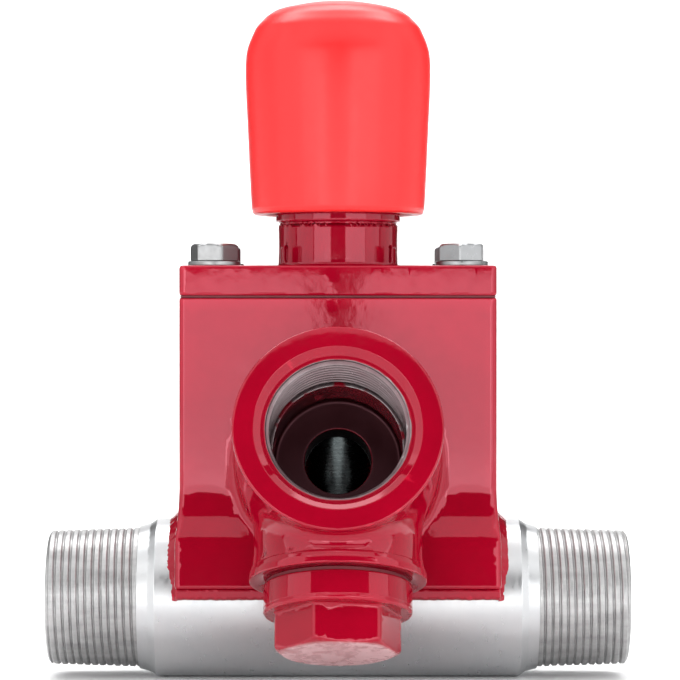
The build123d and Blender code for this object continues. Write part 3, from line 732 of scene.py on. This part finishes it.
rows += [(v, 10.0, 0.0) for v in np.linspace(37.2, 44.8, 16)]
rows = np.array(rows)
TH, D = np.meshgrid(th, rows[:, 0], indexing="ij")
R = np.broadcast_to(rows[:, 1], D.shape).copy()
cut = np.broadcast_to(rows[:, 2], D.shape)
phase = (D / pitch + TH / (2 * math.pi)) % 1.0
tri = np.abs(phase * 2 - 1)
form = np.clip((tri - 0.14) / 0.72, 0, 1)
form = form * form * (3 - 2 * form) * 0.5 + form * 0.5
fade = np.clip((D - 2.35) / 1.3, 0, 1) * np.clip((21.95 - D) / 1.6, 0, 1)
wear = vnoise(TH * 6, D * 0.8, 0 * D) * 0.05
R = R - (D < 21.95) * cut * (1.25 * form * np.minimum(1, fade) - wear * form)
P3 = MOUTH - D[..., None] * OUT + (R * np.cos(TH))[..., None] * np.array([1.0, 0, 0]) + (R * np.sin(TH))[..., None] * np.array([0, SA, CA])
F = wrap_grid(P3, True, False)
Pf = P3.reshape(-1, 3)
NN = lathe_normals(None, nth, F, Pf)
if ((-R[..., None] * (P3 - (MOUTH - D[..., None] * OUT))).reshape(-1, 3) * NN).sum() < 0:
    F, NN = F[:, ::-1], -NN
edge = vnoise(np.cos(TH) * 5 + 3, np.sin(TH) * 5 + 3, 0 * D) * 0.55 + vnoise(np.cos(TH) * 14 + 3, np.sin(TH) * 14 + 3, 0 * D) * 0.25
bare = np.clip(0.5 + (22.25 + edge * 0.6 - D) * 1.6, 0, 1) * np.clip((D - 2.15 + edge * 0.10) * 2.6, 0, 1)
bare = np.maximum(bare, np.clip((D - 36.5) * 4, 0, 1) * (R < 10.4))
# painted shade: darker further into the bore, towards its lower left and left side, near black on the bottom round the
# window, and partly dark on the window wall
shade_lower_left = np.clip(0.5 - 0.5 * (0.55 * np.cos(TH) + 0.83 * np.sin(TH)), 0, 1)
painted_shade = np.clip((D - 9.0) / 18.0, 0, 1) * (0.35 + 0.65 * shade_lower_left)
painted_shade = np.where((D > 34.0) & (R > 10.3), 0.86 + 0.14 * shade_lower_left, painted_shade)
painted_shade = np.clip(painted_shade + 0.35 * np.clip((D - 20) / 8, 0, 1) * np.clip(-np.cos(TH), 0, 1), 0, 1)
painted_shade = np.where(D > 36.5, 0.55, painted_shade)
rim = rounded([(30.36, 12.5), (30.50, 2.4), (30.50, 0.0), (24.40, 0.0), (21.13, 2.38), (21.9, 4.2)], [0, 0.5, 0.85, 0.55, 0, 0], 6)
fine = []
for i in range(len(rim)):
    a, b = np.array(rim[i]), np.array(rim[(i + 1) % len(rim)])
    k_ = max(1, int(np.linalg.norm(b - a) / 1.5))
    fine += [tuple(a + (b - a) * j / k_) for j in range(k_)]
RP, RF = lathe([(a, -b) for a, b in fine], 288, ((1, 0, 0), (0, SA, CA), OUT), MOUTH)
make("inlet_rim", RP, (RF,), PAINT, "valve", (), lathe_normals(None, 0, RF, RP))
rim = [(24.0, 34.2)]
for s_ in np.linspace(34.6, 37.4, 8):
    q_ = min(max(s_ - 27.5, 0), 9.1)
    rim.append((24.6 + 30.28 - math.sqrt(30.28 ** 2 - q_ * q_) + 0.02 - 0.3 * max(0, 35.0 - s_), s_))
rim += rounded([(26.0, 37.5), (26.0, 38.58), (22.0, 38.58), (22.0, 37.0)], [0, 0.75, 0, 0], 7)
RP, RF = lathe(rim, 288, ((1, 0, 0), tuple(OUT), tuple(CLEAN)), CROSS)
make("clean_out_rim", RP, (RF,), PAINT, "valve", (), lathe_normals(None, 0, RF, RP))
make("inlet_skin", Pf, (F,), inlet_with_painted_shade(), "valve", (), NN, {"bare": bare.ravel(), "painted_shade": painted_shade.ravel()})

# ---------------------------------------------------------------------------
# weld beads
# ---------------------------------------------------------------------------
vox = 0.46
P, T, Q, N = sdf_mesh(weld_f, (-54.2, -33.0, -0.3), (54.2, 33.0, 29.2), vox, 0.0, 2)
P[:, 0] = np.clip(P[:, 0], -53.38, 53.38)
P[:, 1] = np.clip(P[:, 1], -31.88, 31.88)
P[:, 2] = np.clip(P[:, 2], 0.62, 28.55)
make("weld_beads", P, (T, Q), PAINT, "valve", ("saddle_weld",), N)

# ---------------------------------------------------------------------------
# pipe run
# ---------------------------------------------------------------------------
vox = 0.72
P, T, Q, N = sdf_mesh(tube_f, (-64, -25.6, -25.6), (64, 25.6, 25.6), vox, 0.02)
make("run_tube_barrel", P, (T, Q), ZINC, "valve", ("run_tube",), N)


# the tube's outside, turned, open where the seat is let in under the casting
half_line = rounded([(0, 24.14), (55.3, 24.14), (57.4, 22.75), (60.75, 21.85), (60.75, 20.6), (0, 20.6)], [0, 0.6, 0.45, 0.12, 0, 0], 6)
half_line = [q_ for q_ in half_line if q_[0] > 0.01]
line = [(-a, b) for a, b in half_line if b > 20.7][::-1] + [(a, b) for a, b in half_line if b > 20.7]
full = [(-60.75, 20.6)]
for i in range(len(line) - 1):
    a, b = np.array(line[i]), np.array(line[i + 1])
    k_ = max(1, int(np.linalg.norm(b - a) / 3.0))
    full += [tuple(a + (b - a) * j / k_) for j in range(k_)]
full += [line[-1], (60.75, 20.6)]
full = np.array(full)
th = np.linspace(0, 2 * math.pi, 288, endpoint=False)
P3 = np.stack([np.broadcast_to(full[:, 0], (288, len(full))), full[:, 1] * np.cos(th)[:, None], full[:, 1] * np.sin(th)[:, None]], -1)
F = wrap_grid(P3, True, False)
Pf = P3.reshape(-1, 3)
mid_ = Pf[F].mean(1)
a, b, c = Pf[F[:, 0]], Pf[F[:, 1]], Pf[F[:, 2]]
if (np.cross(b - a, c - a) * mid_ * np.array([0, 1, 1])).sum() < 0:
    F = F[:, ::-1]
NN = lathe_normals(None, 288, F, Pf)
F = F[~((mid_[:, 2] > 12) & (np.abs(mid_[:, 0]) < 20))]
make("run_tube_outside", Pf, (F,), ZINC, "valve", (), NN)


def run_thread(name, side):
    nth, per = ((208, 14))
    x0, x1 = 60.2, 88.5
    nx = int((x1 - x0) / pitch * per)
    xs = np.linspace(x0, x1, nx)
    th = np.linspace(0, 2 * math.pi, nth, endpoint=False)
    TH, X = np.meshgrid(th, xs, indexing="ij")
    XX = X * side
    # right-hand helix round +X, angle from +Y towards +Z
    phase = (XX / pitch - TH / (2 * math.pi)) % 1.0
    tri = np.abs(phase * 2 - 1)
    form = np.clip((tri - 0.06) / 0.40, 0, 1)
    major = 20.86 + (75.0 - X) * 0.0312 + 0.46 * np.clip((60.95 - X) / 0.5, 0, 1)
    run_out = np.clip((X - 60.7) / 0.8, 0, 1)
    depth = 0.60 * run_out
    wear_and_painted_light = vnoise(TH * 5 + side * 3, X * 0.9, 0 * X) * 0.06 + vnoise(TH * 21, X * 2.0, 0 * X + 3) * 0.03
    R = major - depth * (1 - form) + wear_and_painted_light * form
    # lead chamfer and rounded end
    cham = 19.45 + (88.5 - X) * 1.15
    R = np.minimum(R, cham)
    end = np.clip((X - 88.1) / 0.4, 0, 1)
    R = R - 0.35 * end ** 2
    # end face and bore
    inner = [(17.2, 88.5), (16.6, 88.45), (16.2, 88.2), (16.02, 87.7)] + [(16.02, x) for x in np.linspace(86, 59.6, 8)]
    extra = np.array(inner)
    XI = np.broadcast_to(extra[:, 1] * side, (nth, len(extra)))
    RI = np.broadcast_to(extra[:, 0], (nth, len(extra)))
    XA = np.concatenate([XX, XI], 1)
    RA = np.concatenate([R, RI], 1)
    TA = np.repeat(th[:, None], XA.shape[1], 1)
    P3 = np.stack([XA, RA * np.cos(TA), RA * np.sin(TA)], -1)
    F = wrap_grid(P3, True, True)
    Pf = P3.reshape(-1, 3)
    F = orient(Pf, F)
    NN = lathe_normals(None, nth, F, Pf)
    return make(name, Pf, (F,), THREAD, "valve", ("run_tube",), NN)


run_thread("run_thread_left", -1)
run_thread("run_thread_right", 1)

# ---------------------------------------------------------------------------
# cover
# ---------------------------------------------------------------------------
vox = 0.50
P, T, Q, N = sdf_mesh(bonnet_f, (-48.6, -27.0, 84.0), (48.6, 27.0, 120.6), vox, 0.06)
make("bonnet_cast", P, (T, Q), COVER, "valve", ("bonnet",), N)


def join(parts):
    P, F, off = [], [], 0
    for p, f in parts:
        P.append(p)
        F.append(f + off)
        off += len(p)
    return np.concatenate(P), np.concatenate(F)


wz = 101.42
parts = []
for bx in (-37.4, 37.4):
    for by in (-15.0, 15.0):
        prof = rounded([(4.25, wz), (8.0, wz), (8.0, wz + 1.4), (4.25, wz + 1.4)], [0, 0.25, 0.3, 0.2], 3)
        parts.append(lathe(prof, 72, None, (bx, by, 0)))
P, F = join(parts)
make("washers", P, (F,), BOLT, "valve", ("bonnet_washers",), lathe_normals(None, 0, F, P))


def bolt(bx, by, turn):
    """Hex head with a chamfered top, and its shank, as one radial grid."""
    n = 144
    th = np.linspace(0, 2 * math.pi, n, endpoint=False)
    k = (th - turn) % (math.pi / 3) - math.pi / 6
    hexr = 6.5 / np.cos(k)
    z0, z1 = wz + 1.4 + 0.02, wz + 1.4 + 0.02 + 5.3
    rows = []
    rows.append((np.full(n, 3.99), 80.86))
    rows.append((np.full(n, 3.99), z0))
    rows.append((np.minimum(hexr, 7.42) - 0.25, z0))
    rows.append((np.minimum(hexr, 7.42), z0 + 0.22))
    for zz in np.linspace(z0 + 1.0, z1 - 0.12, 14):
        lim = 6.15 + (z1 - zz) * 1.62
        h = np.minimum(hexr, 7.42)
        e = 0.35
        s = np.minimum(h, lim) - 0.25 * e * np.exp(-np.abs(h - lim) / e)
        rows.append((s, zz))
    rows.append((np.full(n, 6.05), z1 - 0.02))
    rows.append((np.full(n, 5.6), z1))
    rows.append((np.full(n, 4.6), z1 - 0.02))
    rows.append((np.full(n, 4.2), z1 - 0.10))
    rows.append((np.full(n, 0.01), z1 - 0.10))
    R = np.stack([a for a, _ in rows], 1)
    Zz = np.broadcast_to(np.array([b for _, b in rows]), R.shape)
    P3 = np.stack([bx + R * np.cos(th)[:, None], by + R * np.sin(th)[:, None], Zz], -1)
    F = wrap_grid(P3, True, True)
    Pf = P3.reshape(-1, 3)
    return Pf, orient(Pf - np.array([bx, by, 90.0]), F)


parts = [bolt(-37.4, -15, math.radians(50)), bolt(37.4, -15, math.radians(24)), bolt(-37.4, 15, math.radians(41)), bolt(37.4, 15, math.radians(8))]
P, F = join(parts)
o = make("cover_bolts", P, (F,), BOLT, "valve", ("bonnet_bolts",))
md = o.modifiers.new("shade", "EDGE_SPLIT")
md.split_angle = math.radians(28)

# ---------------------------------------------------------------------------
# clean-out plug
# ---------------------------------------------------------------------------
vox = 0.46
c = CROSS + CLEAN * 42
P, T, Q, N = sdf_mesh(plug_f, (-22.8, -72.6, -18.4), (22.8, -26.4, 27.6), vox, 0.03)
s_ = (P - CROSS) @ CLEAN
# mask for the painted light on the end face of the plug
wear_and_painted_light = np.clip((s_ - (HEX_END - 0.35)) / 0.3, 0, 1)
o = make("clean_out_plug", P, (T, Q), PAINT_PAINTED_LIGHT, "valve", ("inspection_plug",), N, {"wear_and_painted_light": wear_and_painted_light})
lo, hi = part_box("inspection_plug")
co = np.array([v.co for v in o.data.vertices])
for i in range(3):
    co[:, i] = np.clip(co[:, i], lo[i], hi[i])
o.data.vertices.foreach_set("co", co.astype(np.float32).ravel())

ringp = rounded([(20.4, COLLAR_S + 0.05), (21.78, COLLAR_S + 0.05), (21.78, COLLAR_S + COLLAR_T - 1.7), (21.0, COLLAR_S + COLLAR_T - 1.2), (20.4, COLLAR_S + COLLAR_T - 2.0)],
                [0, 0.5, 0.3, 0, 0], 6)
RP, RF = lathe(ringp, 240, ((1, 0, 0), tuple(OUT), tuple(CLEAN)), CROSS)
for i in range(3):
    RP[:, i] = np.clip(RP[:, i], lo[i] / MM, hi[i] / MM)
make("clean_out_collar", RP, (RF,), PAINT, "valve", (), lathe_normals(None, 0, RF, RP))

# ---------------------------------------------------------------------------
# knob
# ---------------------------------------------------------------------------
half_w = [(4, 59), (10, 116), (16, 139), (22, 152), (28, 163), (34, 169), (46, 179), (58, 184), (76, 185.2),
          (100, 183.6), (124, 181.2), (148, 179), (172, 176.8), (196, 174.3), (210, 172.4)]
pts = [(0.0, 182.75), (4.5, 182.65)] + [(w / 2 / 3.2495, 79 + (340 - y) / 3.2495) for y, w in half_w]


def smooth_line(pts, per=6):
    """Catmull-Rom through the points."""
    p = [np.array(q, float) for q in pts]
    p = [2 * p[0] - p[1]] + p + [2 * p[-1] - p[-2]]
    out = []
    for i in range(1, len(p) - 2):
        for k in range(per):
            t = k / per
            a, b, c_, e = p[i - 1], p[i], p[i + 1], p[i + 2]
            out.append(0.5 * ((2 * b) + (-a + c_) * t + (2 * a - 5 * b + 4 * c_ - e) * t * t + (-a + 3 * b - 3 * c_ + e) * t ** 3))
    out.append(p[-2])
    return [tuple(v) for v in out]


outer = smooth_line(pts, 6)
outer = [(min(max(a, 0.0), 28.48), min(b, 182.78)) for a, b in outer]
outer[0] = (0.012, outer[0][1])
zb = 117.42
rim = [(26.42, zb + 1.6), (26.30, zb + 0.75), (25.95, zb + 0.22), (25.3, zb), (24.4, zb), (23.3, zb), (22.75, zb + 0.2), (22.45, zb + 0.9)]
inner = [(22.45, 121.0), (22.7, 129.0), (22.95, 135.0), (23.5, 146.0), (24.15, 158.0), (23.9, 163.0), (23.0, 167.5), (21.3, 171.0), (19.0, 173.5), (15.0, 175.6), (11.0, 176.6)]
hub = [(11.0, 170.0), (11.0, 150.0), (11.0, 135.0), (11.0, 121.9), (10.6, 121.42), (8.5, 121.42), (8.06, 121.6), (8.06, 135.0), (8.06, 146.4), (0.012, 146.4)]
prof = outer + rim + inner + hub
n = 288
P, F = lathe(prof, n)
# a moulding is never quite round
ang = np.arctan2(P[:, 1], P[:, 0])
rr = np.hypot(P[:, 0], P[:, 1])
swell = 1 - 0.0012 * (1 + np.cos(3 * ang + P[:, 2] * 0.03)) - 0.0008 * (1 + vnoise(np.cos(ang) * 2 + 4, np.sin(ang) * 2 + 4, P[:, 2] * 0.06))
keep_in = rr > 20
P[keep_in, 0] *= swell[keep_in]
P[keep_in, 1] *= swell[keep_in]
NN = lathe_normals(None, n, F, P)
make("knob_moulding", P, (F,), CORAL, "knob_and_stem", ("knob",), NN)
# ribs between hub and skirt
parts = []
for k in range(6):
    a = math.radians(60 * k)
    e1, e2 = np.array([math.cos(a), math.sin(a), 0]), np.array([-math.sin(a), math.cos(a), 0])
    prof2 = rounded([(10.6, 127.0), (22.95, 127.0), (24.0, 157.0), (10.6, 157.0)], [0.3, 0.3, 0.3, 0.3], 2)
    pr = np.array(prof2)
    m = len(pr)
    layers = []
    for off, inset in ((-1.1, 0.18), (-0.92, 0.0), (0.92, 0.0), (1.1, 0.18)):
        cen = pr.mean(0)
        q = cen + (pr - cen) * (1 - inset / 8)
        layers.append(q[:, :1] * e1 + q[:, 1:] * np.array([0, 0, 1.0]) + off * e2)
    L = np.stack(layers, 1)
    Fq = wrap_grid(L, True, False)
    Pq = L.reshape(-1, 3)
    nl = 4
    cap0, cap1 = [], []
    Pq = np.concatenate([Pq, [L[:, 0].mean(0)], [L[:, -1].mean(0)]])
    i0, i1 = len(Pq) - 2, len(Pq) - 1
    for j in range(m):
        j2 = (j + 1) % m
        cap0.append((j * nl, j2 * nl, i0, i0))
        cap1.append((j2 * nl + nl - 1, j * nl + nl - 1, i1, i1))
    parts.append((Pq, Fq, cap0, cap1))
V, FQ, FT, off = [], [], [], 0
for Pq, Fq, c0, c1 in parts:
    V.append(Pq)
    FQ.append(Fq + off)
    FT += [(a + off, b + off, c_ + off) for a, b, c_, _ in c0 + c1]
    off += len(Pq)
make("knob_ribs", np.concatenate(V), (np.concatenate(FQ), np.array(FT)), CORAL, "knob_and_stem", ())

# ---------------------------------------------------------------------------
# plunger: fine turned surface
# ---------------------------------------------------------------------------
prof = rounded([(0.01, 22.28), (7.0, 22.28), (10.0, 24.02), (10.0, 68.5), (8.52, 68.5), (8.52, 58.4), (6.4, 58.4), (6.4, 42.5), (0.01, 42.5)],
               [0, 0.4, 0.5, 0.5, 0.2, 0, 0, 0, 0], 4)
dense = []
for i in range(len(prof)):
    a, b = np.array(prof[i]), np.array(prof[(i + 1) % len(prof)])
    steps = max(1, int(np.linalg.norm(b - a) / (0.3 if a[0] > 9.9 and b[0] > 9.9 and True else 4)))
    for k in range(steps):
        dense.append(tuple(a + (b - a) * k / steps))
dense = [(r_ - 0.006 * (1 + math.sin(z_ * 2 * math.pi / 1.25)) if r_ > 9.95 and 26 < z_ < 66 else r_, z_) for r_, z_ in dense]
P, F = lathe(dense, 192)
o = make("plunger", P, (F,), DARK, "plug", ("metering_plug",))
md = o.modifiers.new("shade", "EDGE_SPLIT")
md.split_angle = math.radians(35)

# ---------------------------------------------------------------------------
# the other solids keep their own meshes
# ---------------------------------------------------------------------------
finish = {
    "bonnet_gasket": (GASKET, "gasket"), "inspection_plug_seal": (FIBRE, "fibre_seal"), "seat_ring": (SEAT, "seat_steel"),
    "seat_oring": (RUBBER, "rubber_black"), "guide_bush": (BRONZE, "bronze"), "guide_bush_oring": (RUBBER, "rubber_black"),
    "plug_wiper": (RUBBER, "rubber_black"), "bush_retaining_ring": (SPRING, "spring_steel"), "guide_pins": (GROUND, "ground_steel"),
    "stem_bush": (BRONZE, "bronze"), "thrust_washer_lower": (BRONZE, "bronze"), "thrust_washer_upper": (BRONZE, "bronze"),
    "plug_nut": (BRONZE, "bronze"), "lead_screw": (GROUND, "ground_steel"), "stem_circlip": (SPRING, "spring_steel"),
    "stem_orings": (RUBBER, "rubber_black"), "knob_insert": (BRASS, "brass"), "knob_set_screw": (SPRING, "spring_steel"),
}
for name, (m, slot) in finish.items():
    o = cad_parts[name]
    o.data.materials.clear()
    o.data.materials.append(m)

# ---------------------------------------------------------------------------
# floor, backdrop, lights, camera
# ---------------------------------------------------------------------------
FLOOR = -0.02416


def sweep():
    """Floor that curves up into a wall behind."""
    prof = [(-6.0, FLOOR)] + [(y, FLOOR) for y in np.linspace(-4.5, 1.6, 12)]
    R = 1.2
    for k in range(1, 19):
        a = math.pi / 2 * k / 18
        prof.append((1.6 + R * math.sin(a), FLOOR + R * (1 - math.cos(a))))
    prof += [(2.8, FLOOR + R + h) for h in (0.5, 1.2, 2.2, 3.2)]
    V, Fs = [], []
    for i, (y, z) in enumerate(prof):
        half = 4.0 if y < 1.3 else 0.85
        for x in (-half, half):
            V.append((x, y, z))
        if i:
            a = 2 * (i - 1)
            Fs.append((a, a + 1, a + 3, a + 2))
    me = bpy.data.meshes.new("studio_sweep")
    me.from_pydata(V, [], Fs)
    me.polygons.foreach_set("use_smooth", np.ones(len(me.polygons), bool))
    o = bpy.data.objects.new("studio_sweep", me)
    bpy.context.scene.collection.objects.link(o)
    M = Mat("pale_sweep")
    n = M.noise(3, 3, 0.5)
    cc = M.ramp(n, [(0.3, (0.90, 0.90, 0.905)), (0.7, (0.915, 0.915, 0.92))])
    me.materials.append(M.done(M.shader(cc, 0.8, None, IOR=1.3)))
    return o


sweep()


def light(name, loc, aim, sx, sy, radiance, color=(1, 1, 1), spread=180):
    l = bpy.data.lights.new(name, "AREA")
    l.shape = "RECTANGLE"
    l.size, l.size_y = sx, sy
    l.energy = radiance * 4.0 * sx * sy
    l.color = color
    l.spread = math.radians(spread)
    o = bpy.data.objects.new(name, l)
    o.location = loc
    dvec = Vector(aim) - Vector(loc)
    o.rotation_euler = dvec.to_track_quat("-Z", "Y").to_euler()
    bpy.context.scene.collection.objects.link(o)
    return o


AIM = (0, -0.03, 0.06)


def panel(name, az, el, radiance, dist=1.55):
    """A flat soft box that spans the given azimuths from -Y towards +X, and elevations, in degrees."""
    a, e = math.radians(sum(az) / 2), math.radians(sum(el) / 2)
    w = 2 * dist * math.tan(math.radians(abs(az[1] - az[0]) / 2)) * math.cos(e)
    h = 2 * dist * math.tan(math.radians(abs(el[1] - el[0]) / 2))
    loc = (AIM[0] + dist * math.cos(e) * math.sin(a), AIM[1] - dist * math.cos(e) * math.cos(a), AIM[2] + dist * math.sin(e))
    return light(name, loc, AIM, w, h, radiance)


light("soft_overhead", (0, -0.10, 1.75), (0, 0, 0.05), 2.8, 1.9, 1.1)
light("soft_front_top", (0, -1.06, 1.24), AIM, 2.3, 0.68, 1.15)
panel("soft_inner_left", (-14, -47), (-8, 22), 2.5)
panel("soft_inner_right", (14, 54), (-8, 22), 2.5)
panel("soft_side_left", (-47, -88), (-7, 46), 1.3)
panel("soft_side_right", (53, 88), (-7, 46), 1.35)
panel("soft_back_left", (-88, -130), (-7, 46), 0.55)
panel("soft_back_right", (88, 130), (-7, 46), 0.6)
for sg, nm in ((-1, "left"), (1, "right")):
    light("lens_card_" + nm, (sg * 0.2304, -0.957, 0.0495), (sg * 0.2304, 0, 0.0495), 0.4392, 0.149, 2.7)
light("floor_wash", (0, 1.05, 2.1), (0, 1.25, 0), 3.2, 1.4, 2.3)
light("wall_wash", (0, 1.1, 2.3), (0, 2.6, 0.3), 3.2, 1.0, 4.2)

world = bpy.data.worlds.new("studio")
bpy.context.scene.world = world
world.use_nodes = True
bg = world.node_tree.nodes["Background"]
bg.inputs["Color"].default_value = (0.95, 0.97, 1.0, 1)
bg.inputs["Strength"].default_value = 0.05

cam = bpy.data.cameras.new("camera")
cam.lens = 163.5
cam.sensor_width = 36
cam.clip_start = 0.02
cam.clip_end = 30
co_ = bpy.data.objects.new("camera", cam)
co_.location = (0.0006, -0.950, 0.079)
co_.rotation_euler = (math.radians(90), 0, 0)
bpy.context.scene.collection.objects.link(co_)
bpy.context.scene.camera = co_
bpy.context.scene.view_settings.view_transform = "Standard"
